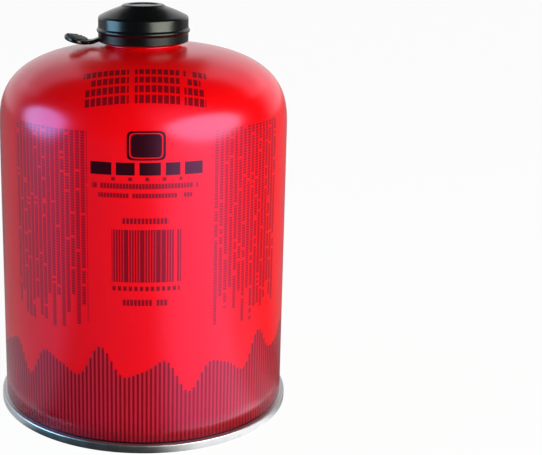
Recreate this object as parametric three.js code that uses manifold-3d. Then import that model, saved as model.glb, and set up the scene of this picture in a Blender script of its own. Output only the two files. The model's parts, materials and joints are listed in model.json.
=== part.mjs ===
// A screw-on gas canister for a camping stove: a drawn steel can with a domed shoulder,
// a seamed-on steel base, a pressed valve cup with a threaded boss, the valve inside it,
// and a press-on plastic cap with a pull tab.
//
// Millimetres, +Z up. The origin is on the ground, at the middle of the base.
// The front of the can faces -Y, and the cap's pull tab points to -X.

import * as THREE from 'three';
import { mergeVertices } from 'three/addons/utils/BufferGeometryUtils.js';
import Module from 'manifold-3d';

const wasm = await Module();
wasm.setup();

// The can: straight wall, then a shoulder that follows a superellipse
const canRadius = 54;
const wallTop = 107.4;
const shoulderRise = 30.7;
const shoulderPower = 2.86;

// The base: an end that curves up into the can, rolled to the wall in a double seam
const seamHeight = 3.1;
const seamProud = 1.7;
const seamInset = 0.8;
const seamRound = 0.5;
const baseSheet = 0.5;
const baseLipHeight = 2.2;
const baseShoulder = 1.6;
const baseDomeRise = 7.8;

// The neck: the can's opening and the curl that the valve cup is crimped over
const openingRadius = 12.7;
const curlWidth = 1.9;
const curlHeight = 1.9;
const curlRound = 0.5;
const neckStep = 0.7;
const neckRise = 2.6;
const pocketDepth = 19.5;

// The valve cup: one pressing of tinplate, from its rolled rim to the threaded boss
const cupSheet = 0.4;
const cupRimWidth = 3.7;
const cupRimRound = 1;
const cupSkirt = 2;
const cupFlangeDrop = 0.8;
const cupFlangeWidth = 0.4;
const cupFlangeSlope = 0.4;
const cupWallGap = 0.5;
const cupDepth = 6.2;
const cupStepHeight = 1.5;
const cupStepWidth = 1.4;
const cupBendRound = 0.5;
const pedestalRadius = 7.2;
const pedestalHeight = 1.8;
const bossThreadDiameter = 11.1125;
const bossHeight = 9.6;
const bossRound = 1.4;
const bossHoleRadius = 1.85;
const lipRadius = 2.75;
const lipHeight = 0.7;
const lipLean = 0.3;

// The valve, bottom to top: housing, spring, stem and seal
const gasketHeight = 0.6;
const gasketWidth = 0.85;
const sealHeight = 1.6;
const sealHoleRadius = 1.5;
const sealRadius = 3.8;
const stemHeadRadius = 2.6;
const stemHeadHeight = 1.4;
const stemShaftRadius = 1;
const stemLength = 12.5;
const stemTravel = 1.8;
const springWire = 0.5;
const springTurns = 5;
const springRadius = 1.9;
const housingWall = 1.5;
const springChamber = 8.6;
const inletRadius = 0.7;
const inletRim = 1.6;
const inletLength = 3;

// The cap: skirt with a raised bead round it, and a sloping crown up to a dished button
const capSkirtRadius = 16.8;
const capSkirtHeight = 9.2;
const capGrip = 2.5;
const capWall = 1.5;
const capRoof = 1.3;
const capEdgeRound = 0.4;
const capShoulderRound = 1.2;
const capLiningRound = 0.8;
const beadStart = 3.2;
const beadHeight = 1.9;
const beadProud = 0.55;
const beadSlope = 0.3;
const crownRise = 3.6;
const crownRadius = 8.5;
const crownBow = 0.2;
const buttonRise = 0.8;
const buttonRadius = 7.5;
const dishRadius = 5.4;
const dishSlope = 0.7;
const dishDepth = 0.4;

// The pull tab: a narrow neck and an oval pad with slanted grip ribs
const tabNeckLength = 2.75;
const tabNeckWidth = 5.4;
const tabThickness = 1.2;
const padLength = 9.2;
const padWidth = 14.5;
const padThickness = 1.5;
const padTilt = 13;
const ribCount = 6;
const ribPitch = 1.7;
const ribWidth = 0.8;
const ribHeight = 0.35;
const ribSlant = 50;
const ribMargin = 0.7;

// Clearance between pieces that sit in one another, and how many flats make a circle
const clearance = 0.3;
const flatsRound = 48;
const flatsSmall = 36;
const flatsTiny = 20;

// Heights and radii that follow from those sizes
const crownHeight = wallTop + shoulderRise;
const curlTop = crownHeight + neckRise;
const curlRadius = openingRadius + curlWidth;
const cupRimTop = curlTop + gasketHeight + cupSheet;
const cupWallRadius = openingRadius - cupWallGap - cupSheet / 2;
const cupRimRadius = cupWallRadius - cupSheet / 2 + cupRimWidth;
const cupFloor = cupRimTop - cupDepth;
const bossTop = cupFloor + bossHeight;
const bossRadius = bossThreadDiameter / 2;
const sealTop = bossTop - cupSheet;
const sealBottom = sealTop - sealHeight;
const housingRadius = bossRadius - cupSheet - clearance;
const chamberRadius = housingRadius - housingWall;
const chamberFloor = sealBottom - stemHeadHeight - springChamber;
const guideBottom = sealBottom - stemLength - stemTravel - clearance;
const capLedge = cupRimTop + clearance;
const capFoot = capLedge - capGrip;
const capShoulder = capFoot + capSkirtHeight;
const crownTop = capShoulder + crownRise;
const capTop = crownTop + buttonRise;
const beadRadius = capSkirtRadius + beadProud;

/** Points of an outline from its corners [r, z, rounding]; a rounded corner is a bend. */
function outline(corners, steps = 3) {
  const points = [];
  corners.forEach(([r, z, rounding = 0], index) => {
    const corner = new THREE.Vector2(r, z);
    if (rounding === 0) {
      points.push(corner);
      return;
    }
    const before = new THREE.Vector2(...corners[index - 1].slice(0, 2)).sub(corner);
    const after = new THREE.Vector2(...corners[index + 1].slice(0, 2)).sub(corner);
    const turn = Math.acos(before.dot(after) / (before.length() * after.length()));
    const reach = Math.min(
      rounding / Math.tan(turn / 2),
      before.length() * 0.49,
      after.length() * 0.49,
    );
    const start = corner.clone().addScaledVector(before.normalize(), reach);
    const end = corner.clone().addScaledVector(after.normalize(), reach);
    const bend = new THREE.QuadraticBezierCurve(start, corner, end);
    points.push(...bend.getPoints(steps));
  });
  return points;
}

/** Points from one end to the other along a line that bulges by `bow` at its middle. */
function bowed([r0, z0], [r1, z1], bow, steps) {
  const chord = new THREE.Vector2(r1 - r0, z1 - z0);
  const side = new THREE.Vector2(-chord.y, chord.x).normalize();
  const middle = new THREE.Vector2((r0 + r1) / 2, (z0 + z1) / 2);
  const pull = middle.addScaledVector(side, 2 * bow);
  const start = new THREE.Vector2(r0, z0);
  const end = new THREE.Vector2(r1, z1);
  return new THREE.QuadraticBezierCurve(start, pull, end).getPoints(steps);
}

/** The two faces of a sheet of even thickness, from the line along its middle. */
function sheetFaces(middle, thickness) {
  const left = [];
  const right = [];
  middle.forEach((point, index) => {
    const before = middle[Math.max(index - 1, 0)];
    const after = middle[Math.min(index + 1, middle.length - 1)];
    const arriving = point === before ? after.clone().sub(point) : point.clone().sub(before);
    const leaving = point === after ? arriving.clone() : after.clone().sub(point);
    arriving.normalize();
    leaving.normalize();
    const normal = new THREE.Vector2(-arriving.y, arriving.x);
    normal.add(new THREE.Vector2(-leaving.y, leaving.x)).normalize();
    const spread = normal.x * -leaving.y + normal.y * leaving.x;
    left.push(point.clone().addScaledVector(normal, thickness / 2 / spread));
    right.push(point.clone().addScaledVector(normal, -thickness / 2 / spread));
  });
  return { left, right };
}

/** A turned solid about Z. The outline runs from the axis out, up and back, or closes. */
function turned(points, flats) {
  const geometry = new THREE.LatheGeometry(points, flats);
  geometry.rotateX(Math.PI / 2);
  return geometry;
}

/** A turned ring: its outline closes on itself away from the axis. */
function turnedRing(points, flats) {
  return turned([...points, points[0].clone()], flats);
}

/** A manifold solid from a closed three.js geometry. */
function solidFrom(geometry) {
  const bare = geometry.clone();
  bare.deleteAttribute('normal');
  bare.deleteAttribute('uv');
  const merged = mergeVertices(bare, 1e-4);
  const count = merged.index.count;
  const triangles = [];
  for (let i = 0; i < count; i += 3) {
    const [a, b, c] = [merged.index.getX(i), merged.index.getX(i + 1), merged.index.getX(i + 2)];
    if (a !== b && b !== c && c !== a) {
      triangles.push(a, b, c);
    }
  }
  const mesh = new wasm.Mesh({
    numProp: 3,
    vertProperties: new Float32Array(merged.attributes.position.array),
    triVerts: new Uint32Array(triangles),
  });
  return new wasm.Manifold(mesh);
}

/** A three.js geometry from a manifold solid. */
function geometryFrom(solid) {
  const mesh = solid.getMesh();
  const geometry = new THREE.BufferGeometry();
  geometry.setAttribute('position', new THREE.BufferAttribute(mesh.vertProperties, 3));
  geometry.setIndex(new THREE.BufferAttribute(mesh.triVerts, 1));
  geometry.computeVertexNormals();
  return geometry;
}

/** A named mesh with a plain material of its own. */
function piece(name, geometry, color, roughness, metalness) {
  const material = new THREE.MeshStandardMaterial({ color, roughness, metalness });
  const mesh = new THREE.Mesh(geometry, material);
  mesh.name = name;
  return mesh;
}

/** The arched panel of the base, from the middle out, `lift` above its lower face. */
function basePanel(lift) {
  const edgeRadius = canRadius - seamInset - baseShoulder;
  const edgeHeight = baseLipHeight + baseShoulder;
  const middle = [0, edgeHeight + baseDomeRise + lift];
  const bow = baseDomeRise / 4;
  return bowed(middle, [edgeRadius, edgeHeight + lift], bow, 6);
}

/** Printed steel can with its contents: one solid, with a pocket where the valve hangs. */
function canBody() {
  const neckRadius = curlRadius - neckStep;
  const shoulderEnd = Math.acos((curlRadius / canRadius) ** (shoulderPower / 2));
  const shoulderSteps = 13;
  const shoulder = [];
  for (let step = 0; step <= shoulderSteps; step += 1) {
    const angle = (shoulderEnd * step) / shoulderSteps;
    const across = canRadius * Math.cos(angle) ** (2 / shoulderPower);
    const up = shoulderRise * Math.sin(angle) ** (2 / shoulderPower);
    shoulder.push(new THREE.Vector2(across, wallTop + up));
  }
  const neck = outline([
    [neckRadius, crownHeight + neckStep / 2],
    [neckRadius, curlTop - curlHeight],
    [curlRadius, curlTop - curlHeight + curlRound],
    [curlRadius, curlTop, curlRound],
    [openingRadius, curlTop, curlRound],
    [openingRadius, curlTop - pocketDepth],
    [0, curlTop - pocketDepth],
  ], 2);
  const panel = basePanel(baseSheet + clearance);
  return turned([
    ...panel,
    new THREE.Vector2(canRadius - seamInset + clearance, seamHeight),
    new THREE.Vector2(canRadius, seamHeight),
    ...shoulder,
    ...neck,
  ], flatsRound);
}

/** Steel base: arched panel, upright lip and the rolled seam that the can stands on. */
function baseEnd() {
  const inner = canRadius - seamInset;
  const outer = canRadius + seamProud;
  const seam = outline([
    [inner, baseLipHeight],
    [inner, 0, seamRound],
    [outer, 0, seamRound],
    [outer, seamHeight, seamRound],
    [inner, seamHeight],
  ], 2);
  return turned([
    ...basePanel(0),
    ...seam,
    ...basePanel(baseSheet).reverse(),
  ], flatsRound);
}

/** Valve cup: rolled rim, wall, floor, pedestal, threaded boss and the lip of its hole. */
function valveCup() {
  const half = cupSheet / 2;
  const rim = cupRimRadius - half;
  const rimMiddle = cupRimTop - half;
  const flange = rimMiddle - cupFlangeDrop;
  const floor = cupFloor - half;
  const stepRadius = cupWallRadius - cupStepWidth;
  const boss = bossRadius - half;
  const middle = outline([
    [rim, curlTop - cupSkirt + cupSheet],
    [rim, flange, cupBendRound],
    [rim - cupFlangeWidth, flange],
    [rim - cupFlangeWidth - cupFlangeSlope, rimMiddle, cupBendRound],
    [cupWallRadius, rimMiddle, cupRimRound],
    [cupWallRadius, floor + cupStepHeight],
    [stepRadius + cupStepWidth / 3, floor + cupStepHeight / 2],
    [stepRadius, floor],
    [pedestalRadius, floor],
    [pedestalRadius - half, floor + pedestalHeight, cupBendRound],
    [boss, floor + pedestalHeight],
    [boss, bossTop - half, bossRound],
    [lipRadius, bossTop - half],
    [lipRadius - lipLean, bossTop + lipHeight - half],
    [bossHoleRadius, bossTop + lipHeight - half],
  ], 2);
  const { left, right } = sheetFaces(middle, cupSheet);
  return turnedRing([...right, ...left.reverse()], flatsSmall);
}

/** Flat rubber ring between the can's curl and the valve cup's rim. */
function cupGasket() {
  const inner = cupWallRadius + cupRimRound + cupSheet / 2;
  return turnedRing(outline([
    [inner, curlTop],
    [inner + gasketWidth, curlTop],
    [inner + gasketWidth, curlTop + gasketHeight],
    [inner, curlTop + gasketHeight],
  ]), flatsSmall);
}

/** Rubber disc under the boss, which seals on the stem and on the stove's pin. */
function valveSeal() {
  return turnedRing(outline([
    [sealHoleRadius, sealBottom],
    [sealRadius, sealBottom],
    [sealRadius, sealTop],
    [sealHoleRadius, sealTop],
  ]), flatsTiny);
}

/** Stem: a round head under the seal and a shaft that slides in the housing. */
function valveStem() {
  return turned(outline([
    [0, sealBottom - stemLength],
    [stemShaftRadius, sealBottom - stemLength],
    [stemShaftRadius, sealBottom - stemHeadHeight],
    [stemHeadRadius, sealBottom - stemHeadHeight],
    [stemHeadRadius, sealBottom],
    [0, sealBottom],
  ]), flatsTiny);
}

/** Coil spring between the housing's floor and the stem's head. */
function valveSpring() {
  const low = chamberFloor + clearance + springWire / 2;
  const high = sealBottom - stemHeadHeight - clearance - springWire / 2;
  const stepsPerTurn = 12;
  const points = [];
  for (let step = 0; step <= springTurns * stepsPerTurn; step += 1) {
    const angle = (2 * Math.PI * step) / stepsPerTurn;
    const height = low + ((high - low) * step) / (springTurns * stepsPerTurn);
    points.push(new THREE.Vector3(
      springRadius * Math.cos(angle),
      springRadius * Math.sin(angle),
      height,
    ));
  }
  const path = new THREE.CatmullRomCurve3(points);
  const section = new THREE.Shape();
  section.absarc(0, 0, springWire / 2, 0, 2 * Math.PI, false);
  return new THREE.ExtrudeGeometry(section, {
    steps: springTurns * stepsPerTurn,
    curveSegments: 3,
    bevelEnabled: false,
    extrudePath: path,
  });
}

/** Housing: a cup that holds spring and stem, with a guide bore and an inlet below. */
function valveHousing() {
  const guideRadius = stemShaftRadius + clearance;
  const tail = guideBottom - inletLength;
  return turnedRing(outline([
    [inletRadius, tail],
    [inletRim, tail],
    [inletRim, guideBottom - housingWall],
    [guideRadius + housingWall, guideBottom - housingWall],
    [guideRadius + housingWall, chamberFloor - housingWall],
    [housingRadius, chamberFloor - housingWall],
    [housingRadius, sealBottom],
    [chamberRadius, sealBottom],
    [chamberRadius, chamberFloor],
    [guideRadius, chamberFloor],
    [guideRadius, guideBottom],
    [inletRadius, guideBottom],
  ]), flatsTiny);
}

/** A flat oval plate that stands on the XY plane. */
function ovalPlate(length, width, thickness) {
  const oval = new THREE.Shape();
  oval.absellipse(0, 0, length / 2, width / 2, 0, 2 * Math.PI, false, 0);
  return new THREE.ExtrudeGeometry(oval, {
    depth: thickness,
    curveSegments: 12,
    bevelEnabled: false,
  });
}

/** The pull tab, from inside the cap's skirt out to the end of the ribbed pad. */
function pullTab() {
  const middle = capFoot + tabThickness / 2;
  const rootX = -(capSkirtRadius - capWall / 2);
  const neckEnd = -(beadRadius + tabNeckLength + padLength / 4);
  const neckReach = rootX - neckEnd;
  const neck = new THREE.BoxGeometry(neckReach, tabNeckWidth, tabThickness);
  neck.translate(rootX - neckReach / 2, 0, middle);

  const pad = ovalPlate(padLength, padWidth, padThickness);
  pad.translate(0, 0, -padThickness / 2);
  const ribField = ovalPlate(
    padLength - 2 * ribMargin,
    padWidth - 2 * ribMargin,
    padThickness / 2 + ribHeight,
  );
  let ribs = null;
  for (let index = 0; index < ribCount; index += 1) {
    const rib = new THREE.BoxGeometry(ribWidth, 2 * padWidth, padThickness);
    rib.translate((index - (ribCount - 1) / 2) * ribPitch, 0, padThickness / 2);
    rib.rotateZ(THREE.MathUtils.degToRad(ribSlant));
    const bar = solidFrom(rib);
    ribs = ribs ? ribs.add(bar) : bar;
  }
  const ribbed = solidFrom(pad).add(ribs.intersect(solidFrom(ribField)));
  const padGeometry = geometryFrom(ribbed);
  padGeometry.rotateY(THREE.MathUtils.degToRad(padTilt));
  const padX = -(beadRadius + tabNeckLength + padLength / 2);
  padGeometry.translate(padX, 0, middle);
  return solidFrom(padGeometry).add(solidFrom(neck));
}

/** Press-on cap: skirt with a bead, crown with a dished button, and the pull tab. */
function cap() {
  const inside = capSkirtRadius - capWall;
  const grip = cupRimRadius + clearance;
  const crown = bowed([capSkirtRadius, capShoulder], [crownRadius, crownTop], -crownBow, 5);
  const beadFoot = capFoot + beadStart;
  const beadTop = beadFoot + beadHeight;
  const outer = outline([
    [grip, capFoot],
    [capSkirtRadius, capFoot, capEdgeRound],
    [capSkirtRadius, beadFoot],
    [beadRadius, beadFoot + beadSlope],
    [beadRadius, beadTop - beadSlope],
    [capSkirtRadius, beadTop],
    [capSkirtRadius, capShoulder, capShoulderRound],
    [crown[1].x, crown[1].y],
  ], 2);
  const dish = outline([
    [buttonRadius, capTop],
    [dishRadius + dishSlope, capTop],
    [dishRadius, capTop - dishDepth],
    [0, capTop - dishDepth],
  ]);
  const lining = outline([
    [0, capTop - dishDepth - capRoof],
    [dishRadius + dishSlope, capTop - dishDepth - capRoof],
    [inside, capShoulder - capRoof, capLiningRound],
    [inside, capLedge],
    [grip, capLedge],
  ], 2);
  const shell = turned([
    ...lining,
    ...outer,
    ...crown.slice(2),
    ...dish,
  ], flatsSmall);
  return geometryFrom(solidFrom(shell).add(pullTab()));
}

const canister = new THREE.Group();
canister.name = 'fuel_canister';
canister.add(piece('can_body', canBody(), 0xd2141c, 0.22, 0.1));
canister.add(piece('base_end', baseEnd(), 0xc4c6c8, 0.3, 1));
canister.add(piece('valve_cup', valveCup(), 0xbfb6a6, 0.25, 1));
canister.add(piece('cup_gasket', cupGasket(), 0x1c1c1c, 0.8, 0));
canister.add(piece('valve_seal', valveSeal(), 0x202020, 0.8, 0));
canister.add(piece('valve_stem', valveStem(), 0xb79a5c, 0.35, 1));
canister.add(piece('valve_spring', valveSpring(), 0xc8c8c8, 0.3, 1));
canister.add(piece('valve_housing', valveHousing(), 0xe6e2d8, 0.5, 0));
canister.add(piece('cap', cap(), 0x131416, 0.25, 0));

export default canister;
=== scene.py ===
# %% [markdown]
# A screw-on gas canister for a camping stove. A drawn steel can with a domed shoulder is printed
# red, a bare steel base is rolled on below, and a black cap is pressed over the valve.
# The measured solids come in first, as a fixed frame. Each visible piece is then made again
# with a fine surface, in the same place and size. All lengths are metres, and MM turns
# millimetres into them.

import json
import math

import bmesh
import bpy
from mathutils import Matrix, Vector

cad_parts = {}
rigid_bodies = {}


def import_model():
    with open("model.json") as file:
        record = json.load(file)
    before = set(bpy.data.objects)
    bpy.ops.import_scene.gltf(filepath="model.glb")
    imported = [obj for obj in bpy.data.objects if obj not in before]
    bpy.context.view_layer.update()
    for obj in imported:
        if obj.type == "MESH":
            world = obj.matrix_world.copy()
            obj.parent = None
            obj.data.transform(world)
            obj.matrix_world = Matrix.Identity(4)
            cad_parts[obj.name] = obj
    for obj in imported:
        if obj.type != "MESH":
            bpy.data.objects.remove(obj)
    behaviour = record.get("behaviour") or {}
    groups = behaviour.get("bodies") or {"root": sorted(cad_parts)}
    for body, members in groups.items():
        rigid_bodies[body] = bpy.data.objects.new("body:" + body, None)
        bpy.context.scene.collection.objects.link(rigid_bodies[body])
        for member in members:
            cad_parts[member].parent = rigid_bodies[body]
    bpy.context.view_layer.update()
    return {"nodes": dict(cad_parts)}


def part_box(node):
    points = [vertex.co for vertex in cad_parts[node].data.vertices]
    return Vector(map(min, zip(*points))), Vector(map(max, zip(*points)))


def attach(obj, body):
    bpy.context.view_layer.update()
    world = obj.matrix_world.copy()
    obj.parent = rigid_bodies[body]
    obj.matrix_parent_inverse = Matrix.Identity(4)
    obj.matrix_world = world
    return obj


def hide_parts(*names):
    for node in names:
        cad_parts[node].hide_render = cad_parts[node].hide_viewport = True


for leftover in list(bpy.data.objects):
    bpy.data.objects.remove(leftover)
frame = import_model()
MM = 0.001
print("nodes:", ", ".join(sorted(frame["nodes"])))

# %% [markdown]
# The sizes. Heights that pieces share are read from the frame, so that each new piece lands
# where its solid is. The rest are the real sizes of the pressings and mouldings. GAP is the play
# between two pieces that pass each other.

# %% Sizes shared by the pieces
CAN_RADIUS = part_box("can_body")[1].x
CURL_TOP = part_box("can_body")[1].z
SEAM_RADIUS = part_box("base_end")[1].x
CUP_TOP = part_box("valve_cup")[1].z
CUP_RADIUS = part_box("valve_cup")[1].x
BEAD_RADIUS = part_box("cap")[1].x
CAP_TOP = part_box("cap")[1].z
SEAM_HEIGHT = 3.1 * MM
WALL_TOP = CURL_TOP - 33.3 * MM
SHOULDER_RISE = 30.7 * MM
SHOULDER_POWER = 2.86
OPENING_RADIUS = 12.7 * MM
GAP = 0.3 * MM
print(f"can {2 * CAN_RADIUS / MM:.1f} mm across, {CAP_TOP / MM:.1f} mm tall with its cap")

# %% [markdown]
# Colours are written as the hex values that a paint program shows. Blender's sockets take
# linear light, so one function turns one into the other.

# %% Colour from hex
def colour(hex_value):
    """Linear red, green, blue and alpha from an sRGB hex value."""
    channels = []
    for start in (0, 2, 4):
        level = int(hex_value[start:start + 2], 16) / 255
        linear = level / 12.92 if level <= 0.04045 else ((level + 0.055) / 1.055) ** 2.4
        channels.append(linear)
    return (*channels, 1.0)


print("white is", colour("ffffff"))

# %% [markdown]
# Shader nodes are added by one small function. It sets the node's own settings, then its
# inputs. An input is a plain value, or a socket of another node to link from. The functions
# after it add the kinds of node that come back often, and return the socket to link on from.

# %% Add shader nodes
def add(tree, kind, settings=None, inputs=None):
    """A new node with its settings and inputs."""
    node = tree.nodes.new(kind)
    for name, value in (settings or {}).items():
        setattr(node, name, value)
    for name, value in (inputs or {}).items():
        if isinstance(value, bpy.types.NodeSocket):
            tree.links.new(value, node.inputs[name])
        else:
            node.inputs[name].default_value = value
    return node


def maths(tree, operation, *values, clamp=False):
    """The result of an operation on one to three values."""
    settings = {"operation": operation, "use_clamp": clamp}
    return add(tree, "ShaderNodeMath", settings, dict(enumerate(values))).outputs[0]


def blend(tree, share, first, second):
    """A colour from the first to the second, by a share from 0 to 1."""
    inputs = {"Factor": share, 6: first, 7: second}
    return add(tree, "ShaderNodeMix", {"data_type": "RGBA"}, inputs).outputs[2]


def blend_levels(tree, share, first, second):
    """A level from the first to the second, by a share from 0 to 1."""
    inputs = {"Factor": share, 2: first, 3: second}
    return add(tree, "ShaderNodeMix", {"data_type": "FLOAT"}, inputs).outputs[0]


def soft_step(tree, value, low, high, start=0.0, end=1.0):
    """A smooth change from start to end, as the value goes from low to high."""
    return add(
        tree, "ShaderNodeMapRange", {"interpolation_type": "SMOOTHSTEP"},
        {"Value": value, "From Min": low, "From Max": high, "To Min": start, "To Max": end},
    ).outputs[0]


def relief(tree, height, strength, depth):
    """The direction of a surface with a low relief, whose depth is in millimetres."""
    inputs = {"Strength": strength, "Distance": depth * MM, "Height": height}
    return add(tree, "ShaderNodeBump", inputs=inputs).outputs[0]


def new_material(name):
    """An empty node material and its output node."""
    material = bpy.data.materials.new(name)
    material.use_nodes = True
    material.node_tree.nodes.clear()
    output = add(material.node_tree, "ShaderNodeOutputMaterial")
    return material, output


print("helpers for materials are ready")

# %% [markdown]
# The camera comes before the making. The photograph looks down on the canister, and the can
# stands left of the middle of the picture. Lens shift moves it there without turning the camera.
# A little downward shift also stands in for part of the tilt, since the photograph's upright
# edges are parallel. These numbers are a least squares fit to the photograph's outline.

# %% Camera
PHOTO_WIDTH = 542
SENSOR = 36
FOCAL_PIXELS = 1195
AXIS_PIXEL = 143.3
CAMERA_DISTANCE = 0.443
CAMERA_HEIGHT = 0.200
CAMERA_DOWN = 13.85
SHIFT_UP = -0.11

camera_data = bpy.data.cameras.new("camera")
camera_data.sensor_width = SENSOR
camera_data.lens = FOCAL_PIXELS * SENSOR / PHOTO_WIDTH
camera_data.shift_x = (PHOTO_WIDTH / 2 - AXIS_PIXEL) / PHOTO_WIDTH
camera_data.shift_y = SHIFT_UP
camera = bpy.data.objects.new("camera", camera_data)
camera.location = (0, -CAMERA_DISTANCE, CAMERA_HEIGHT)
camera.rotation_euler = (math.radians(90 - CAMERA_DOWN), 0, 0)
bpy.context.scene.collection.objects.link(camera)
bpy.context.scene.camera = camera
print(f"lens {camera_data.lens:.1f} mm, shift {camera_data.shift_x:.3f}")

# %% [markdown]
# Most of this object is turned about one upright axis. Each such piece starts as an outline of
# a few corners in the XZ plane. A corner can be rounded with a vertex bevel, and the spin
# operator sweeps the outline round. A full spin merges its ends, and doubles on the axis are
# merged too, so the poles close.

# %% Outline and spin
def round_off(mesh, geom, size, segments, affect="EDGES"):
    """Rounds edges or vertices off with a bevel."""
    bmesh.ops.bevel(
        mesh, geom=geom, offset=size, offset_type="OFFSET", affect=affect,
        segments=segments, profile=0.5, material=-1,
    )


def outline(mesh, corners, segments=5):
    """A wire of corners (radius, height, rounding) in the XZ plane."""
    points = []
    for radius, height, *_ in corners:
        points.append(mesh.verts.new((radius, 0, height)))
    for start, end in zip(points, points[1:]):
        mesh.edges.new((start, end))
    for point, corner in zip(points, corners):
        if len(corner) == 3:
            round_off(mesh, [point], corner[2], segments, "VERTICES")


def spin_round(mesh, steps):
    """Sweeps everything in the mesh once round the upright axis and closes it."""
    bmesh.ops.spin(
        mesh, geom=mesh.verts[:] + mesh.edges[:], cent=(0, 0, 0), axis=(0, 0, 1),
        angle=2 * math.pi, steps=steps, use_merge=True,
    )
    bmesh.ops.remove_doubles(mesh, verts=mesh.verts, dist=0.001 * MM)
    bmesh.ops.recalc_face_normals(mesh, faces=mesh.faces)


def finish_piece(name, mesh, material, body, nodes):
    """Turns a bmesh into a smooth object that rides on a body and replaces its solids."""
    data = bpy.data.meshes.new(name)
    mesh.to_mesh(data)
    mesh.free()
    data.polygons.foreach_set("use_smooth", [True] * len(data.polygons))
    data.materials.append(material)
    piece = bpy.data.objects.new(name, data)
    bpy.context.scene.collection.objects.link(piece)
    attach(piece, body)
    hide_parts(*nodes)
    print(f"{name}: {len(data.polygons)} faces")


print("helpers for turned pieces are ready")

# %% [markdown]
# The print on the can is laid out like a drawing on the flat steel before it was drawn up:
# a place across it, and a place along it. Across is the distance round the can from the
# middle of the front, and along is the distance up the can's profile. The profile's length is
# stored on the mesh, so that the print follows the shoulder as ink does. Nothing here is
# lettering: every line of print is a row of plain bars.

# %% Places on the print
PRINT_MIDDLE = 0.7 * MM
ARCH_START = 118 * MM
ARCH_BASE = 4.0
ARCH_GAIN = 330


def place_parts(tree):
    """Sockets for the X, Y and Z of a place on the object."""
    shape = add(tree, "ShaderNodeTexCoord")
    return add(tree, "ShaderNodeSeparateXYZ", inputs={0: shape.outputs["Object"]}).outputs


def angle_round(tree, parts):
    """The angle round the upright axis, 0 in front."""
    front = maths(tree, "MULTIPLY", parts[1], -1.0)
    return maths(tree, "ARCTAN2", parts[0], front)


def print_places(tree):
    """Sockets for the angle round the can, the distance across and the distance along."""
    parts = place_parts(tree)
    angle = angle_round(tree, parts)
    flat = add(tree, "ShaderNodeCombineXYZ", inputs={0: parts[0], 1: parts[1]})
    radius = add(tree, "ShaderNodeVectorMath", {"operation": "LENGTH"}, {0: flat.outputs[0]})
    across = maths(tree, "MULTIPLY_ADD", angle, radius.outputs["Value"], -PRINT_MIDDLE)
    length = add(tree, "ShaderNodeAttribute", {"attribute_name": "along"})
    return angle, across, length.outputs["Fac"]


def arched(tree, across, along):
    """The distance along, bent so that lines on the shoulder arch up in the middle."""
    above = maths(tree, "SUBTRACT", along, ARCH_START, clamp=True)
    bend = maths(tree, "MULTIPLY_ADD", above, ARCH_GAIN, ARCH_BASE)
    square = maths(tree, "MULTIPLY", across, across)
    return maths(tree, "MULTIPLY_ADD", square, bend, along)


print("print places read the angle, the distance across and the distance along")

# %% [markdown]
# Ink shapes are masks, 1 where there is ink. A block is a rectangle. Bars cut a line into
# short pieces of chance lengths, which reads as print from a step away and spells nothing.
# The chance comes from White Noise on the bar's number, so it is the same each time. From here
# to the band, the sizes of the print are plain numbers of millimetres.

# %% Ink shapes
def cut(tree, ink, mask):
    """Ink only where the mask is."""
    return maths(tree, "MULTIPLY", ink, mask)


def all_of(tree, inks):
    """Several inks laid over each other."""
    total = inks[0]
    for ink in inks[1:]:
        total = maths(tree, "MAXIMUM", total, ink)
    return total


def within(tree, place, middle, half):
    """Ink where a place is within half a width of its middle."""
    return maths(tree, "COMPARE", place, middle * MM, half * MM)


def block(tree, across, along, middle, half):
    """Ink in a rectangle, given by its middle and half sizes (across, along)."""
    wide = within(tree, across, middle[0], half[0])
    tall = within(tree, along, middle[1], half[1])
    return cut(tree, wide, tall)


def numbered(tree, run, pitch):
    """The number of the bar at each place of a run, and the share of its pitch gone by."""
    count = maths(tree, "DIVIDE", run, pitch * MM)
    return maths(tree, "FLOOR", count), maths(tree, "FRACT", count)


def bars(tree, run, pitch, solid, kept, seed):
    """Bars along a run: their pitch, the inked share of each and the share that is kept."""
    number, share = numbered(tree, run, pitch)
    inked = maths(tree, "LESS_THAN", share, solid)
    where = add(tree, "ShaderNodeCombineXYZ", inputs={0: number, 1: seed})
    chance = add(tree, "ShaderNodeTexWhiteNoise", {"noise_dimensions": "2D"}, {"Vector": where.outputs[0]})
    chosen = maths(tree, "LESS_THAN", chance.outputs["Value"], kept)
    return cut(tree, inked, chosen)


print("ink shapes: block and bars")

# %% [markdown]
# The front. Four arched lines on the shoulder, a dark plate with a frame line where a maker would
# put a badge, a row of heavy bars under it, some thin lines, and a striped block.
# A shoulder line is its middle along, half width, half height and the share of its letters that
# are kept. A thin line has the pitch and the inked share of its bars before that last share.
# A word gap and a heavy bar are a middle across and a half width. Each set of the block's
# stripes is a pitch, an inked share, a kept share and a seed.

# %% Front print
SHOULDER_LINES = [
    (141.7, 22.0, 1.75, 0.97),
    (136.8, 19.5, 1.65, 0.96),
    (132.2, 21.0, 1.6, 0.97),
    (127.9, 21.3, 1.65, 0.97),
]
SHOULDER_SEED = 0.5
LETTER_PITCH = 2.1
LETTER_SHARE = 0.76
WORD_GAPS = [(-4.6, 1.0), (12.6, 0.8)]
HEAVY_BARS = [(-15.2, 3.7), (-6.8, 3.2), (1.6, 3.6), (9.4, 2.5), (16.7, 3.2)]
HEAVY_MIDDLE = 103.6
HEAVY_HALF = 2.2
THIN_LINES = [
    (100.1, 12.6, 0.6, 5.8, 0.22, 1.0),
    (97.6, 18.3, 0.9, 1.1, 0.8, 0.9),
    (94.3, 16.2, 0.8, 1.1, 0.8, 0.88),
    (85.4, 7.9, 1.0, 1.3, 0.72, 0.92),
    (61.2, 12.0, 0.8, 1.9, 0.6, 1.0),
    (56.1, 7.9, 1.1, 1.3, 0.74, 0.9),
]
THIN_SEED = 10.5
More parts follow.
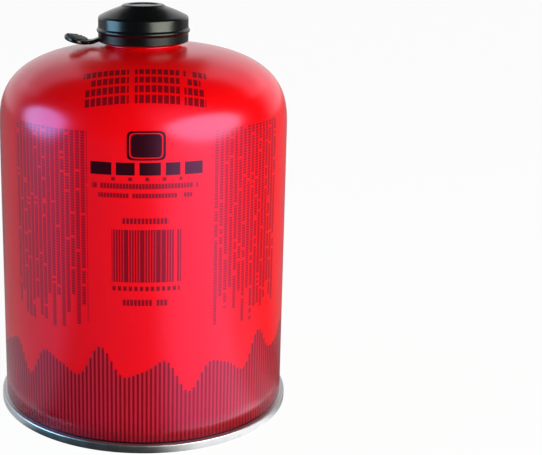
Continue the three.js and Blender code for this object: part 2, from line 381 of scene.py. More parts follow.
CODE_MIDDLE = (0.4, 72.9)
CODE_HALF = (12.0, 9.4)
CODE_STRIPES = [(0.92, 0.68, 0.9, 20.5), (1.84, 0.84, 0.5, 23.5)]
PLATE_MIDDLE = (0.3, 111.6)
PLATE_HALF = (6.6, 5.0)
PLATE_CORNER = 7
PLATE_FRAME = (0.8, 0.87)


def shoulder_print(tree, across, along):
    """Ink of the arched lines, each cut into letters' bars and then into words."""
    bent = arched(tree, across, along)
    lines = []
    for row, (middle, half, tall, kept) in enumerate(SHOULDER_LINES):
        line = block(tree, across, bent, (0, middle), (half, tall))
        letters = bars(tree, across, LETTER_PITCH, LETTER_SHARE, kept, SHOULDER_SEED + row)
        lines.append(cut(tree, line, letters))
    ink = all_of(tree, lines)
    for middle, half in WORD_GAPS:
        gap = within(tree, across, middle, half)
        ink = maths(tree, "SUBTRACT", ink, gap, clamp=True)
    return ink


def label_print(tree, across, along):
    """Ink of the thin lines and the striped block."""
    inks = []
    for row, (middle, half, tall, pitch, solid, kept) in enumerate(THIN_LINES):
        line = block(tree, across, along, (0, middle), (half, tall))
        inks.append(cut(tree, line, bars(tree, across, pitch, solid, kept, THIN_SEED + row)))
    code = block(tree, across, along, CODE_MIDDLE, CODE_HALF)
    stripes = [bars(tree, across, *stripe) for stripe in CODE_STRIPES]
    inks.append(cut(tree, code, all_of(tree, stripes)))
    return all_of(tree, inks)


def plate_print(tree, across, along):
    """Ink of the heavy bars and the plate, a rounded block with a bare frame line in it.

    The plate is a superellipse. The frame line lies between two shares of its size.
    """
    powers = []
    for place, middle, half in zip((across, along), PLATE_MIDDLE, PLATE_HALF):
        moved = maths(tree, "SUBTRACT", place, middle * MM)
        share = maths(tree, "ABSOLUTE", maths(tree, "DIVIDE", moved, half * MM))
        powers.append(maths(tree, "POWER", share, PLATE_CORNER))
    total = maths(tree, "ADD", *powers)
    plate = maths(tree, "LESS_THAN", total, 1.0)
    inner, outer = [share ** PLATE_CORNER for share in PLATE_FRAME]
    frame_line = maths(tree, "COMPARE", total, (inner + outer) / 2, (outer - inner) / 2)
    inks = [maths(tree, "SUBTRACT", plate, frame_line, clamp=True)]
    for middle, half in HEAVY_BARS:
        inks.append(block(tree, across, along, (middle, HEAVY_MIDDLE), (half, HEAVY_HALF)))
    return all_of(tree, inks)


print(f"front print: {len(SHOULDER_LINES)} arched lines, {len(THIN_LINES)} thin lines")

# %% [markdown]
# The sides and the back carry small print in upright lines, each ending at a chance height.
# The line's number picks its end, and small marks along it are kept or dropped by chance.
# A panel of lines is its middle across and its half width.

# %% Small print on the sides
COLUMN_PITCH = 2.05
COLUMN_SHARE = 0.7
COLUMN_TOP = 116
COLUMN_END = 44
COLUMN_RAGGED = 15
MARK_PITCH = 0.95
MARK_SHARE = 0.8
MARKS_KEPT = 0.94
PANELS = [(-37.2, 17.0), (40.6, 16.6), (-92, 22), (95, 22), (148, 16)]


def side_print(tree, across, along):
    """Ink of the upright lines of small print."""
    number, share = numbered(tree, across, COLUMN_PITCH)
    chance = add(tree, "ShaderNodeTexWhiteNoise", {"noise_dimensions": "1D"}, {"W": number})
    end = maths(tree, "MULTIPLY_ADD", chance.outputs["Value"], COLUMN_RAGGED * MM, COLUMN_END * MM)
    ink = maths(tree, "LESS_THAN", share, COLUMN_SHARE)
    for mask in (
        maths(tree, "GREATER_THAN", along, end),
        maths(tree, "LESS_THAN", along, COLUMN_TOP * MM),
        bars(tree, along, MARK_PITCH, MARK_SHARE, MARKS_KEPT, number),
        all_of(tree, [within(tree, across, *panel) for panel in PANELS]),
    ):
        ink = cut(tree, ink, mask)
    return ink


print(f"small print: {len(PANELS)} panels, a line each {COLUMN_PITCH:.2f} mm")

# %% [markdown]
# Round the foot runs a darker band with fine upright stripes. Its upper edge rolls up and down
# in steps, since each stripe ends square at a height of its own. Three cosines of the stripe's
# angle give that height, each with a count of waves, a size in millimetres and a turn. The
# counts are whole, so that the edge meets itself at the back. The stripes are a sine of the
# angle, 219 to the round, which is 1.55 mm apart.

# %% Striped band
BAND_MIDDLE = 30.6
BAND_WAVES = [(16, 4.6, 4.83), (5, 2.4, 1.43), (27, 1.5, 2.0)]
STRIPE_COUNT = 219
STRIPE_EDGE = 0.7


def band_edge(tree, angle):
    """The height of the band's upper edge, one height for each stripe."""
    step = maths(tree, "SNAP", angle, 2 * math.pi / STRIPE_COUNT)
    height = BAND_MIDDLE * MM
    for waves, size, turn in BAND_WAVES:
        wave = maths(tree, "COSINE", maths(tree, "MULTIPLY_ADD", step, waves, turn))
        height = maths(tree, "MULTIPLY_ADD", wave, size * MM, height)
    return height


def band_stripes(tree, angle):
    """A soft wave from 0 to 1 for the upright stripes."""
    wave = maths(tree, "SINE", maths(tree, "MULTIPLY", angle, STRIPE_COUNT))
    return soft_step(tree, wave, -STRIPE_EDGE, STRIPE_EDGE)


print(f"stripes {2 * math.pi * CAN_RADIUS / STRIPE_COUNT / MM:.2f} mm apart")

# %% [markdown]
# The lacquer. Printed tin has a clear red ink over bright metal and a gloss varnish over that.
# The surface mirrors large lights as a soft veil, pinker than the light, because part of it
# comes back through the red. A specular tint gives that, and it fades at the can's edges,
# where any varnish mirrors plain white. The foot of the wall ends in a thin dark line, which is
# painted shade in the groove where the wall meets the seam.

# %% Red lacquer material
# height of the painted shade line above the seam, at the foot of the wall
SEAM_SHADE_LINE = 0.5 * MM


def red_lacquer():
    """Printed red lacquer with all its inks."""
    material, output = new_material("printed_red_lacquer")
    tree = material.node_tree
    angle, across, along = print_places(tree)
    cloud = add(tree, "ShaderNodeTexNoise", inputs={"Scale": 30.0, "Detail": 3.0})
    ground = blend(tree, cloud.outputs["Fac"], colour("ea0304"), colour("e40205"))
    stripes = blend(tree, band_stripes(tree, angle), colour("7e0610"), colour("b81a2a"))
    in_band = maths(tree, "LESS_THAN", along, band_edge(tree, angle))
    inked = blend(tree, in_band, ground, stripes)
    for mask, ink in (
        (side_print(tree, across, along), "940414"),
        (label_print(tree, across, along), "7c0510"),
        (shoulder_print(tree, across, along), "78060f"),
        (plate_print(tree, across, along), "2a020a"),
        # painted shade: a thin dark line along the foot of the wall, where it meets the seam
        (maths(tree, "LESS_THAN", along, SEAM_HEIGHT + SEAM_SHADE_LINE), "2a0308"),
    ):
        inked = blend(tree, mask, inked, colour(ink))
    ripple = add(tree, "ShaderNodeTexNoise", inputs={"Scale": 260.0, "Detail": 2.0})
    shader = add(
        tree, "ShaderNodeBsdfPrincipled",
        inputs={
            "Base Color": inked,
            "Roughness": 0.23,
            "IOR": 1.5,
            "Specular IOR Level": 0.9,
            "Specular Tint": colour("ffa2ee"),
            "Normal": relief(tree, ripple.outputs["Fac"], strength=0.04, depth=0.05),
        },
    )
    tree.links.new(shader.outputs[0], output.inputs[0])
    return material


lacquer = red_lacquer()
print("lacquer nodes:", len(lacquer.node_tree.nodes))

# %% [markdown]
# The can. Its wall is straight, and its shoulder is a superellipse, a curve between an ellipse
# and a square corner, as a deep-drawn dome has. The shoulder's points are closer together near
# the wall, where it climbs fastest. The neck ends in a rolled curl, which the valve cup is
# crimped over. The length along the outline is stored on each point before the spin, and the
# spin copies it.

# %% Can body
CAN_STEPS = 256
WALL_STEPS = 12
SHOULDER_STEPS = 40
SHOULDER_CROWDING = 1.4
NECK_STEP = 0.7 * MM
CURL_WIDTH = 1.9 * MM
CURL_RADIUS = OPENING_RADIUS + CURL_WIDTH
CURL_HEIGHT = 1.9 * MM
CURL_LIP = 0.6 * MM
CURL_ROUND = 0.55 * MM
POCKET_DEPTH = 19.5 * MM
SEAM_INSET = 0.5 * MM
ARCH_STEPS = 16
BASE_EDGE_INSET = 2.4 * MM
BASE_EDGE_HEIGHT = 3.8 * MM
BASE_RISE = 7.8 * MM
BASE_SHEET = 0.5 * MM


def shoulder_point(share):
    """A point of the shoulder: 0 at the top of the wall, 1 at the neck."""
    end = math.acos((CURL_RADIUS / CAN_RADIUS) ** (SHOULDER_POWER / 2))
    angle = end * share
    radius = CAN_RADIUS * math.cos(angle) ** (2 / SHOULDER_POWER)
    rise = SHOULDER_RISE * math.sin(angle) ** (2 / SHOULDER_POWER)
    return radius, WALL_TOP + rise


def can_profile():
    """Corners of the can's outline, from the seam up the wall and over to the pocket."""
    corners = [(CAN_RADIUS, SEAM_HEIGHT)]
    for step in range(1, WALL_STEPS):
        corners.append((CAN_RADIUS, SEAM_HEIGHT + (WALL_TOP - SEAM_HEIGHT) * step / WALL_STEPS))
    for step in range(SHOULDER_STEPS + 1):
        corners.append(shoulder_point((step / SHOULDER_STEPS) ** SHOULDER_CROWDING))
    neck = CURL_RADIUS - NECK_STEP
    corners += [
        (neck, WALL_TOP + SHOULDER_RISE + NECK_STEP / 2),
        (neck, CURL_TOP - CURL_HEIGHT),
        (CURL_RADIUS, CURL_TOP - CURL_HEIGHT + CURL_LIP, 0.2 * MM),
        (CURL_RADIUS, CURL_TOP, CURL_ROUND),
        (OPENING_RADIUS, CURL_TOP, CURL_ROUND),
        (OPENING_RADIUS, CURL_TOP - POCKET_DEPTH),
        (0, CURL_TOP - POCKET_DEPTH),
    ]
    return corners


def base_arch(lift):
    """Corners of the arched panel of the base, from its edge to the middle."""
    edge_radius = CAN_RADIUS - BASE_EDGE_INSET
    corners = []
    for step in range(ARCH_STEPS + 1):
        share = step / ARCH_STEPS
        radius = edge_radius * (1 - share)
        corners.append((radius, BASE_EDGE_HEIGHT + BASE_RISE * (1 - (1 - share) ** 2) + lift))
    return corners


def make_can():
    """The can with its print coordinate stored as an attribute."""
    mesh = bmesh.new()
    length = mesh.verts.layers.float.new("along")
    bottom = list(reversed(base_arch(BASE_SHEET + GAP)))
    outline(mesh, bottom + [(CAN_RADIUS - SEAM_INSET, SEAM_HEIGHT)] + can_profile())
    mesh.verts.ensure_lookup_table()
    travelled = SEAM_HEIGHT
    previous = mesh.verts[len(bottom)]
    here = mesh.verts[len(bottom) + 1]
    while True:
        here[length] = travelled
        ahead = [edge.other_vert(here) for edge in here.link_edges]
        ahead = [vert for vert in ahead if vert != previous]
        if not ahead:
            break
        travelled += (ahead[0].co - here.co).length
        previous = here
        here = ahead[0]
    spin_round(mesh, CAN_STEPS)
    finish_piece("printed_can", mesh, lacquer, "canister", ["can_body"])


make_can()

# %% [markdown]
# Bare metals. Tinned steel is bright and a little soft, with fine rolling marks. A metal's
# colour is its reflection, so a pale grey and a low roughness do most of it, and a fine noise
# varies the roughness the way handling does.

# %% Metal materials
def bare_metal(name, tint, shade, roughness, grain):
    """A metal with fine marks: its two tints, its roughness range and its grain in mm."""
    material, output = new_material(name)
    tree = material.node_tree
    place = add(tree, "ShaderNodeTexCoord")
    marks = add(
        tree, "ShaderNodeTexNoise",
        inputs={"Vector": place.outputs["Object"], "Scale": 1 / (grain * MM), "Detail": 4.0},
    ).outputs["Fac"]
    rough = add(
        tree, "ShaderNodeMapRange",
        inputs={"Value": marks, "To Min": roughness[0], "To Max": roughness[1]},
    )
    shader = add(
        tree, "ShaderNodeBsdfPrincipled",
        inputs={
            "Base Color": blend(tree, marks, colour(shade), colour(tint)),
            "Metallic": 1.0,
            "Roughness": rough.outputs[0],
            "Normal": relief(tree, marks, strength=0.08, depth=0.05),
        },
    )
    tree.links.new(shader.outputs[0], output.inputs[0])
    return material


tinned_steel = bare_metal("tinned_steel", "dedde0", "c2c1c6", (0.3, 0.44), 3)
tinplate = bare_metal("pressed_tinplate", "cdc6b4", "c4bca8", (0.27, 0.33), 1)
brass = bare_metal("turned_brass", "d8b56a", "c8a256", (0.22, 0.34), 1)
spring_steel = bare_metal("spring_steel", "d0d0d0", "b8b8b8", (0.22, 0.34), 1)
print("four bare metals")

# %% [markdown]
# The base is a pressed end, arched up into the can so that it can hold pressure, and rolled to
# the wall in a double seam. The can stands on the seam's flat foot.

# %% Base end
SEAM_ROUND = 0.5 * MM
SEAM_LIP = 2.2 * MM
SEAM_INNER_RADIUS = CAN_RADIUS - 0.8 * MM


def make_base():
    """The seam and the arched panel, one closed outline."""
    mesh = bmesh.new()
    lower = list(reversed(base_arch(0)))
    upper = base_arch(BASE_SHEET)
    outline(mesh, lower + [
        (SEAM_INNER_RADIUS, SEAM_LIP, 0.3 * MM),
        (SEAM_INNER_RADIUS, 0, SEAM_ROUND),
        (SEAM_RADIUS, 0, SEAM_ROUND),
        (SEAM_RADIUS, SEAM_HEIGHT, SEAM_ROUND),
        (SEAM_INNER_RADIUS, SEAM_HEIGHT),
    ] + upper, segments=6)
    spin_round(mesh, CAN_STEPS)
    finish_piece("seamed_base", mesh, tinned_steel, "canister", ["base_end"])


make_base()

# %% [markdown]
# The valve cup is one pressing of thin tinplate. Its outline is the upper face, from the rolled
# rim down the wall, over the floor and up the boss to the lip of its hole. After the spin the
# solidify operator gives the sheet its thickness. The thread is a ridge of its own round the
# boss, and its section is given in shares of the pitch.

# %% Valve cup
CUP_STEPS = 160
CUP_SHEET = 0.4 * MM
CUP_FLOOR_DEPTH = 6.2 * MM
CUP_WALL_INSET = 0.9 * MM
CUP_RIM_REACH = 1.6 * MM
PEDESTAL_RADIUS = 7.2 * MM
PEDESTAL_RISE = 1.8 * MM
BOSS_HEIGHT = 9.6 * MM
BOSS_RADIUS = 11.1125 / 2 * MM
BOSS_ROUND = 1.5 * MM
HOLE_RADIUS = 1.85 * MM
LIP_RADIUS = 2.7 * MM
LIP_FOOT_RADIUS = 3.0 * MM
LIP_RISE = 0.7 * MM
THREAD_DEPTH = 0.5 * MM
THREAD_SINK = 0.05 * MM
THREAD_PITCH = 25.4 / 28 * MM
THREAD_SHARES = (0, 0.38, 0.5, 0.88)
THREAD_BELOW_TOP = 7.2 * MM
THREAD_TURNS = 5.2
THREAD_STEPS = 64


def make_valve_cup():
    """The pressed cup as a sheet, with a plain boss that the thread goes on."""
    mesh = bmesh.new()
    boss_top = CUP_TOP - LIP_RISE
    floor_height = boss_top - BOSS_HEIGHT
    rim_top = floor_height + CUP_FLOOR_DEPTH
    wall = OPENING_RADIUS - CUP_WALL_INSET
    root = BOSS_RADIUS - THREAD_DEPTH
    outline(mesh, [
        (CUP_RADIUS, CURL_TOP - CUP_RIM_REACH),
        (CUP_RADIUS, rim_top, 0.9 * MM),
        (wall, rim_top, 1.2 * MM),
        (wall, floor_height + 1.5 * MM, 0.3 * MM),
        (wall - 0.9 * MM, floor_height + 0.8 * MM, 0.3 * MM),
        (wall - 1.4 * MM, floor_height, 0.4 * MM),
        (PEDESTAL_RADIUS + 0.2 * MM, floor_height, 0.4 * MM),
        (PEDESTAL_RADIUS, floor_height + PEDESTAL_RISE, 0.5 * MM),
        (root + 0.5 * MM, floor_height + PEDESTAL_RISE, 0.2 * MM),
        (root + 0.5 * MM, floor_height + 2.4 * MM, 0.2 * MM),
        (root, floor_height + 2.7 * MM),
        (root, boss_top - 2.3 * MM),
        (BOSS_RADIUS, boss_top - 1.9 * MM, 0.2 * MM),
        (BOSS_RADIUS, boss_top, BOSS_ROUND),
        (LIP_FOOT_RADIUS, boss_top, 0.2 * MM),
        (LIP_RADIUS, CUP_TOP, 0.3 * MM),
        (HOLE_RADIUS, CUP_TOP, 0.2 * MM),
        (HOLE_RADIUS, CUP_TOP - 0.3 * MM),
    ])
    spin_round(mesh, CUP_STEPS)
    return mesh


def thicken_down(mesh, sheet):
    """Gives an open pressing its thickness, on the side away from the upper face."""
    top = max(mesh.faces, key=lambda face: face.calc_center_median().z)
    if top.normal.z < 0:
        bmesh.ops.reverse_faces(mesh, faces=mesh.faces)
    bmesh.ops.solidify(mesh, geom=mesh.faces[:], thickness=sheet)
    bmesh.ops.recalc_face_normals(mesh, faces=mesh.faces)


def make_thread():
    """A right-hand thread ridge, swept up the boss by a spin with a rise for each step."""
    mesh = bmesh.new()
    root = BOSS_RADIUS - THREAD_DEPTH - THREAD_SINK
    bottom = CUP_TOP - LIP_RISE - THREAD_BELOW_TOP
    section = []
    for radius, share in zip((root, BOSS_RADIUS, BOSS_RADIUS, root), THREAD_SHARES):
        section.append(mesh.verts.new((radius, 0, bottom + share * THREAD_PITCH)))
    bmesh.ops.spin(
        mesh, geom=[mesh.faces.new(section)], cent=(0, 0, 0), axis=(0, 0, 1),
        dvec=(0, 0, THREAD_PITCH / THREAD_STEPS), angle=2 * math.pi * THREAD_TURNS,
        steps=int(THREAD_STEPS * THREAD_TURNS), use_merge=False,
    )
    bmesh.ops.recalc_face_normals(mesh, faces=mesh.faces)
    return mesh


cup_mesh = make_valve_cup()
thicken_down(cup_mesh, CUP_SHEET)
finish_piece("pressed_cup", cup_mesh, tinplate, "canister", ["valve_cup"])
finish_piece("boss_thread", make_thread(), tinplate, "canister", [])

# %% [markdown]
# The cap is polyethylene, moulded and black, with a gloss that large lights show as soft panels.
# Its surface has the faint waviness of a moulding, which a low noise bump gives.

# %% Plastic and rubber materials
def moulded(name, base, roughness, wave):
    """A moulded plastic or rubber: base colour, roughness range and waviness in mm."""
    material, output = new_material(name)
    tree = material.node_tree
    place = add(tree, "ShaderNodeTexCoord")
    waves = add(
        tree, "ShaderNodeTexNoise",
        inputs={"Vector": place.outputs["Object"], "Scale": 1 / (wave * MM), "Detail": 2.0},
    ).outputs["Fac"]
    rough = add(
        tree, "ShaderNodeMapRange",
        inputs={"Value": waves, "To Min": roughness[0], "To Max": roughness[1]},
    )
    shader = add(
        tree, "ShaderNodeBsdfPrincipled",
        inputs={
            "Base Color": colour(base),
            "Roughness": rough.outputs[0],
            "IOR": 1.51,
            "Normal": relief(tree, waves, strength=0.06, depth=0.1),
        },
    )
    tree.links.new(shader.outputs[0], output.inputs[0])
    return material


black_cap = moulded("black_polyethylene", "08090b", (0.2, 0.3), 6)
rubber = moulded("nitrile_rubber", "17171a", (0.6, 0.8), 2)
acetal = moulded("natural_acetal", "e4e0d6", (0.35, 0.5), 3)
print("cap, rubber and acetal")

# %% [markdown]
# The cap's shell is turned: a skirt with a raised bead round it, a sloping crown that bulges
# very slightly, and a low button on top with a dished middle.

# %% Cap shell
CAP_STEPS = 192
SKIRT_RADIUS = 16.8 * MM
SKIRT_HEIGHT = 9.2 * MM
CROWN_RISE = 3.6 * MM
BUTTON_RISE = 0.8 * MM
CAP_SHOULDER = CAP_TOP - BUTTON_RISE - CROWN_RISE
CAP_FOOT = CAP_SHOULDER - SKIRT_HEIGHT
CAP_GRIP = 2.5 * MM
BEAD_START = 3.2 * MM
BEAD_HEIGHT = 1.9 * MM
BEAD_SLOPE = 0.6 * MM
CROWN_RADIUS = 8.5 * MM
CROWN_STEPS = 8
CROWN_BOW = 0.2 * MM
CROWN_WAY = (0.4, 0.92)
BUTTON_RADIUS = 7.5 * MM
DISH_RADIUS = 5.4 * MM
DISH_SLOPE = 0.7 * MM
DISH_DEPTH = 0.4 * MM
CAP_WALL = 1.5 * MM
CAP_ROOF = 1.3 * MM


def crown_corners():
    """Corners of the crown's gentle curve, between its shoulder and its button."""
    corners = []
    for step in range(1, CROWN_STEPS):
        share = step / CROWN_STEPS
        bulge = 4 * CROWN_BOW * share * (1 - share)
        radius = SKIRT_RADIUS + (CROWN_RADIUS - SKIRT_RADIUS) * share
        height = CAP_SHOULDER + CROWN_RISE * share
        corners.append((radius + bulge * CROWN_WAY[0], height + bulge * CROWN_WAY[1]))
    return corners


def make_cap_shell(mesh):
    """The turned part of the cap."""
    inside = SKIRT_RADIUS - CAP_WALL
    grip = CUP_RADIUS + GAP
    ledge = CAP_FOOT + CAP_GRIP
    bead = CAP_FOOT + BEAD_START
    dish = CAP_TOP - DISH_DEPTH
    outline(mesh, [
        (0, dish - CAP_ROOF),
        (DISH_RADIUS + DISH_SLOPE, dish - CAP_ROOF, 0.5 * MM),
        (inside, CAP_SHOULDER - CAP_ROOF, 0.8 * MM),
        (inside, ledge),
        (grip, ledge),
        (grip, CAP_FOOT, 0.2 * MM),
        (SKIRT_RADIUS, CAP_FOOT, 0.35 * MM),
        (SKIRT_RADIUS, bead, 0.35 * MM),
        (BEAD_RADIUS, bead + BEAD_SLOPE, 0.33 * MM),
        (BEAD_RADIUS, bead + BEAD_HEIGHT - BEAD_SLOPE, 0.33 * MM),
        (SKIRT_RADIUS, bead + BEAD_HEIGHT, 0.35 * MM),
        (SKIRT_RADIUS, CAP_SHOULDER, 0.75 * MM),
        *crown_corners(),
        (CROWN_RADIUS, CAP_TOP - BUTTON_RISE, 0.3 * MM),
        (BUTTON_RADIUS, CAP_TOP, 0.35 * MM),
        (DISH_RADIUS + DISH_SLOPE, CAP_TOP, 0.25 * MM),
        (DISH_RADIUS, dish, 0.25 * MM),
        (0, dish),
    ])
    spin_round(mesh, CAP_STEPS)


print(f"cap shell: {2 * SKIRT_RADIUS / MM:.1f} mm across, {(CAP_TOP - CAP_FOOT) / MM:.1f} mm tall")

# %% [markdown]
# The tab is drawn as a flat outline of a neck and an oval pad, then extruded and rounded. A few
# cuts across it let it bend, and the pad is tipped up at its free end. The grip ribs are bars
# across the pad, each as long as the oval allows: a quadratic says where its middle line
# crosses the oval.

# %% Pull tab
TAB_NECK_LENGTH = 2.75 * MM
TAB_NECK_WIDTH = 5.4 * MM
TAB_THICKNESS = 1.5 * MM
TAB_MIDDLE = CAP_FOOT + 0.6 * MM
TAB_ROOT = SKIRT_RADIUS - 0.6 * MM
TAB_ROUND = 0.35 * MM
TAB_CUTS = 12
PAD_LENGTH = 9.2 * MM
PAD_WIDTH = 14.5 * MM
PAD_TILT = math.radians(13)
PAD_MIDDLE = BEAD_RADIUS + TAB_NECK_LENGTH + PAD_LENGTH / 2
PAD_STEPS = 48
RIB_COUNT = 6
RIB_PITCH = 1.7 * MM
RIB_WIDTH = 0.75 * MM
RIB_HEIGHT = 0.35 * MM
RIB_ROUND = 0.2 * MM
RIB_SLANT = math.radians(50)
RIB_MARGIN = 0.7 * MM


def make_tab(mesh):
    """The neck and the oval pad from one outline, extruded and rounded."""
    opening = math.asin(TAB_NECK_WIDTH / PAD_WIDTH)
    rim = [(-TAB_ROOT, TAB_NECK_WIDTH / 2)]
    for step in range(PAD_STEPS + 1):
        angle = opening + (2 * math.pi - 2 * opening) * step / PAD_STEPS
        rim.append((
            -PAD_MIDDLE + PAD_LENGTH / 2 * math.cos(angle),
            PAD_WIDTH / 2 * math.sin(angle),
        ))
    rim.append((-TAB_ROOT, -TAB_NECK_WIDTH / 2))
    bottom = TAB_MIDDLE - TAB_THICKNESS / 2
    sheet = mesh.faces.new([mesh.verts.new((x, y, bottom)) for x, y in rim])
    lifted = bmesh.ops.extrude_face_region(mesh, geom=[sheet])
    top = [item for item in lifted["geom"] if isinstance(item, bmesh.types.BMVert)]
    bmesh.ops.translate(mesh, verts=top, vec=(0, 0, TAB_THICKNESS))
    bmesh.ops.recalc_face_normals(mesh, faces=mesh.faces)
    sharp = [edge for edge in mesh.edges if edge.calc_face_angle(0) > 1]
    round_off(mesh, sharp, TAB_ROUND, 3)
    for cut_number in range(1, TAB_CUTS):
        place = -TAB_ROOT - (PAD_MIDDLE + PAD_LENGTH / 2 - TAB_ROOT) * cut_number / TAB_CUTS
        bmesh.ops.bisect_plane(
            mesh, geom=mesh.verts[:] + mesh.edges[:] + mesh.faces[:],
            plane_co=(place, 0, 0), plane_no=(1, 0, 0),
        )


def make_ribs(mesh):
    """Slanted bars on the pad, cut to the oval less a margin."""
    half_long = PAD_LENGTH / 2 - RIB_MARGIN
    half_wide = PAD_WIDTH / 2 - RIB_MARGIN
    lean = Vector((math.cos(RIB_SLANT), math.sin(RIB_SLANT), 0))
    side = Vector((-lean.y, lean.x, 0))
    square = (lean.x / half_long) ** 2 + (lean.y / half_wide) ** 2
    for number in range(RIB_COUNT):
        offset = side * (number - (RIB_COUNT - 1) / 2) * RIB_PITCH
        linear = 2 * (offset.x * lean.x / half_long ** 2 + offset.y * lean.y / half_wide ** 2)
        constant = (offset.x / half_long) ** 2 + (offset.y / half_wide) ** 2 - 1
        reach = math.sqrt(max(linear * linear - 4 * square * constant, 0)) / (2 * square)
        middle = offset - lean * linear / (2 * square)
        place = (
            Matrix.Translation((middle.x - PAD_MIDDLE, middle.y, TAB_MIDDLE + TAB_THICKNESS / 2))
            @ Matrix.Rotation(RIB_SLANT, 4, "Z")
            @ Matrix.Diagonal((2 * reach, RIB_WIDTH, 2 * RIB_HEIGHT, 1))
        )
        bar = bmesh.ops.create_cube(mesh, size=1, matrix=place)
        edges = {edge for vert in bar["verts"] for edge in vert.link_edges}
        round_off(mesh, list(edges), RIB_ROUND, 2)


def tip_pad(mesh):
    """Bends the neck and tips the pad up at its free end."""
    for vert in mesh.verts:
        beyond = -vert.co.x - SKIRT_RADIUS
        share = min(1, max(0, beyond / (PAD_MIDDLE - PAD_LENGTH / 2 - SKIRT_RADIUS)))
        vert.co.z += (-vert.co.x - PAD_MIDDLE) * math.tan(PAD_TILT) * share


tab_mesh = bmesh.new()
make_tab(tab_mesh)
make_ribs(tab_mesh)
tip_pad(tab_mesh)
tab_data = bpy.data.meshes.new("tab")
tab_mesh.to_mesh(tab_data)
tab_mesh.free()
shell_mesh = bmesh.new()
make_cap_shell(shell_mesh)
shell_mesh.from_mesh(tab_data)
finish_piece("press_on_cap", shell_mesh, black_cap, "cap", ["cap"])

# %% [markdown]
# The pieces inside the valve keep their solids. They are small and mostly hidden: the stem's
# head shows down the hole of the boss when the cap is off. Each gets its real finish.

# %% Finishes of the inner pieces
INNER = {
    "cup_gasket": rubber,
    "valve_seal": rubber,
    "valve_stem": brass,
    "valve_spring": spring_steel,
    "valve_housing": acetal,
}
for node, material in INNER.items():
    solid = frame["nodes"][node]
    solid.data.materials.clear()
    solid.data.materials.append(material)
print("finished:", ", ".join(INNER))

# %% [markdown]
# The studio. The can mirrors what stands round it, so the lights are placed by what shows on
# it. A softbox on the right and a bluer one on the left each leave a bright patch on the
# shoulder. They are ellipses, since such a patch has round ends. Two ceiling panels, left and
# right, make the sides of the top milky and leave its middle clear. A large key light from the
# front right colours the wall, and it is kept out of the reflections.

# %% Lights
LIGHT_AIM = Vector((0, 0, 0.1))
CEILING_PLACE = Vector((0.9, 1.1, 0.9))
CEILING_SIZE = (1.2, 1.2)


def area_light(name, shape, size, radiance, tint, mirrored=True):
    """A flat light that shines down. An ellipse is 4 / pi times as bright as its radiance."""
    data = bpy.data.lights.new(name, "AREA")
    data.shape = shape
    data.size = size[0]
    data.size_y = size[1]
    data.energy = radiance * math.pi * size[0] * size[1]
    data.color = colour(tint)[:3]
    lamp = bpy.data.objects.new(name, data)
    lamp.visible_camera = False
    lamp.visible_glossy = mirrored
    bpy.context.scene.collection.objects.link(lamp)
    return lamp


def aim_light(lamp, bearing, rise, distance):
    """Puts a light at a bearing and a rise in degrees, and turns it to the can."""
    around = math.radians(bearing)
    up = math.radians(rise)
    way = Vector((math.sin(around) * math.cos(up), -math.cos(around) * math.cos(up), math.sin(up)))
    lamp.location = LIGHT_AIM + way * distance
    lamp.rotation_euler = way.to_track_quat("Z", "Y").to_euler()


key = area_light("key", "RECTANGLE", (0.7, 0.7), 2.2, "ffffff", mirrored=False)
right_box = area_light("right_box", "ELLIPSE", (0.86, 0.42), 4.9, "f4ffe8")
left_box = area_light("left_box", "ELLIPSE", (0.56, 0.4), 5.8, "9cdcff")
aim_light(key, bearing=29, rise=34, distance=1.0)
aim_light(right_box, bearing=48, rise=12, distance=0.72)
aim_light(left_box, bearing=-82, rise=9, distance=0.72)
for name, side, radiance in (("ceiling_left", -1, 0.62), ("ceiling_right", 1, 0.66)):
    panel = area_light(name, "RECTANGLE", CEILING_SIZE, radiance, "ffffff")
    panel.location = CEILING_PLACE * Vector((side, 1, 1))
print("five lights")

# %% [markdown]
# The floor is white paper. To the camera it is plain white with a trace of shading, so that the
# canister keeps its shadow. The wall of the can leans nowhere, so the camera, which looks down,
# sees the floor mirrored all over it. In the photograph that mirror image is dark in front and
# pale at the sides, as a table is with dark cloth in front of the can. For mirror rays the
# floor's brightness therefore follows the bearing round the can, in a few soft steps, given as
# a bearing in degrees and a brightness. From below, the camera looks through the paper, so that
# the base can be seen.

# %% Floor
FLOOR_MIRROR = [
    (-180, 0.9), (-150, 0.25), (-122, 0.35), (-92, 0.5), (-62, 0.55), (-44, 0.02),
    (2, 0.02), (26, 1.2), (54, 1.5), (72, 0.55), (98, 0.15), (125, 0.25), (150, 0.25), (180, 0.9),
]
FLOOR_HALF_SIZE = 4
FLOOR_GAP = 0.02 * MM
PLAIN_WHITE_SHARE = 0.95


def mirror_brightness(tree):
    """How bright the floor is for mirror rays, by its bearing round the can."""
    angle = angle_round(tree, place_parts(tree))
    turn = add(
        tree, "ShaderNodeMapRange",
        inputs={"Value": angle, "From Min": -math.pi, "From Max": math.pi},
    )
    levels = [level for bearing, level in FLOOR_MIRROR]
    brightest = max(levels)
    ramp = add(tree, "ShaderNodeValToRGB", inputs={0: turn.outputs[0]})
    ramp.color_ramp.interpolation = "EASE"
    stops = ramp.color_ramp.elements
    for bearing, level in FLOOR_MIRROR[1:-1]:
        stops.new(bearing / 360 + 0.5)
    for stop, level in zip(stops, levels):
        grey = level / brightest
        stop.color = (grey, grey, grey, 1)
    return maths(tree, "MULTIPLY", ramp.outputs[0], brightest)


def mirror_rays(tree, rays):
    """1 for rays that come by way of a mirror or through something clear."""
    return all_of(tree, [rays.outputs["Is Glossy Ray"], rays.outputs["Is Transmission Ray"]])


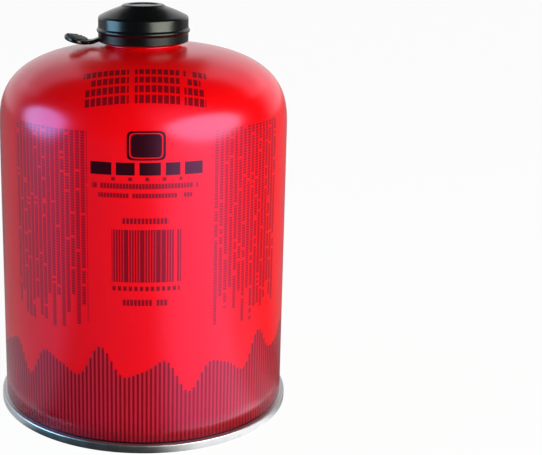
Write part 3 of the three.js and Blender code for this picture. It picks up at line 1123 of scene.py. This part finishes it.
def white_paper():
    """White paper, with its own brightness for the camera and for mirror rays."""
    material, output = new_material("white_paper")
    tree = material.node_tree
    rays = add(tree, "ShaderNodeLightPath")
    mirror = mirror_rays(tree, rays)
    strength = blend_levels(tree, mirror, 1.0, mirror_brightness(tree))
    glow = add(tree, "ShaderNodeEmission", inputs={"Color": colour("ffffff"), "Strength": strength})
    paper = add(tree, "ShaderNodeBsdfDiffuse", inputs={"Color": colour("f2f2f2")})
    to_camera = cut(tree, rays.outputs["Is Camera Ray"], PLAIN_WHITE_SHARE)
    mixed = add(
        tree, "ShaderNodeMixShader",
        inputs={0: all_of(tree, [to_camera, mirror]), 1: paper.outputs[0], 2: glow.outputs[0]},
    )
    side = add(tree, "ShaderNodeNewGeometry")
    from_below = cut(tree, side.outputs["Backfacing"], rays.outputs["Is Camera Ray"])
    clear = add(tree, "ShaderNodeBsdfTransparent")
    one_sided = add(
        tree, "ShaderNodeMixShader",
        inputs={0: from_below, 1: mixed.outputs[0], 2: clear.outputs[0]},
    )
    tree.links.new(one_sided.outputs[0], output.inputs[0])
    return material


floor_mesh = bmesh.new()
bmesh.ops.create_grid(floor_mesh, x_segments=1, y_segments=1, size=FLOOR_HALF_SIZE)
floor_data = bpy.data.meshes.new("floor")
floor_mesh.to_mesh(floor_data)
floor_mesh.free()
floor_data.materials.append(white_paper())
floor = bpy.data.objects.new("floor", floor_data)
floor.location.z = -FLOOR_GAP
bpy.context.scene.collection.objects.link(floor)
print("white floor, dark in front for mirror rays")

# %% [markdown]
# Past the floor the camera sees plain white. Mirror rays see a white wall behind the can, and a
# dark room in front of it and overhead, with a soft change between. All other rays get a low
# even grey, so that no side of the canister is black.

# %% Sky
DARK_ROOM = 0.012
ROOM_GREY = 0.1
WALL_BACKWARD = (0.3, 0.7)
WALL_UPWARD = (0.32, 0.5)

world = bpy.data.worlds.new("studio")
bpy.context.scene.world = world
world.use_nodes = True
sky = world.node_tree
sky.nodes.clear()
sky_rays = add(sky, "ShaderNodeLightPath")
sky_shape = add(sky, "ShaderNodeTexCoord")
sky_parts = add(sky, "ShaderNodeSeparateXYZ", inputs={0: sky_shape.outputs["Generated"]})
behind = soft_step(sky, sky_parts.outputs[1], *WALL_BACKWARD)
low_down = soft_step(sky, sky_parts.outputs[2], *WALL_UPWARD, start=1.0, end=0.0)
back_wall = maths(sky, "MAXIMUM", cut(sky, behind, low_down), DARK_ROOM)
mirrored_sky = blend_levels(sky, mirror_rays(sky, sky_rays), ROOM_GREY, back_wall)
seen_sky = blend_levels(sky, sky_rays.outputs["Is Camera Ray"], mirrored_sky, 1.0)
sky_light = add(
    sky, "ShaderNodeBackground", inputs={"Color": colour("ffffff"), "Strength": seen_sky},
)
add(sky, "ShaderNodeOutputWorld", inputs={0: sky_light.outputs[0]})
print("white sky for the camera, dark room in front for mirror rays")

# %% [markdown]
# Last, the picture's tone is left plain.

# %% Finish
bpy.context.scene.view_settings.view_transform = "Standard"
bpy.context.view_layer.update()
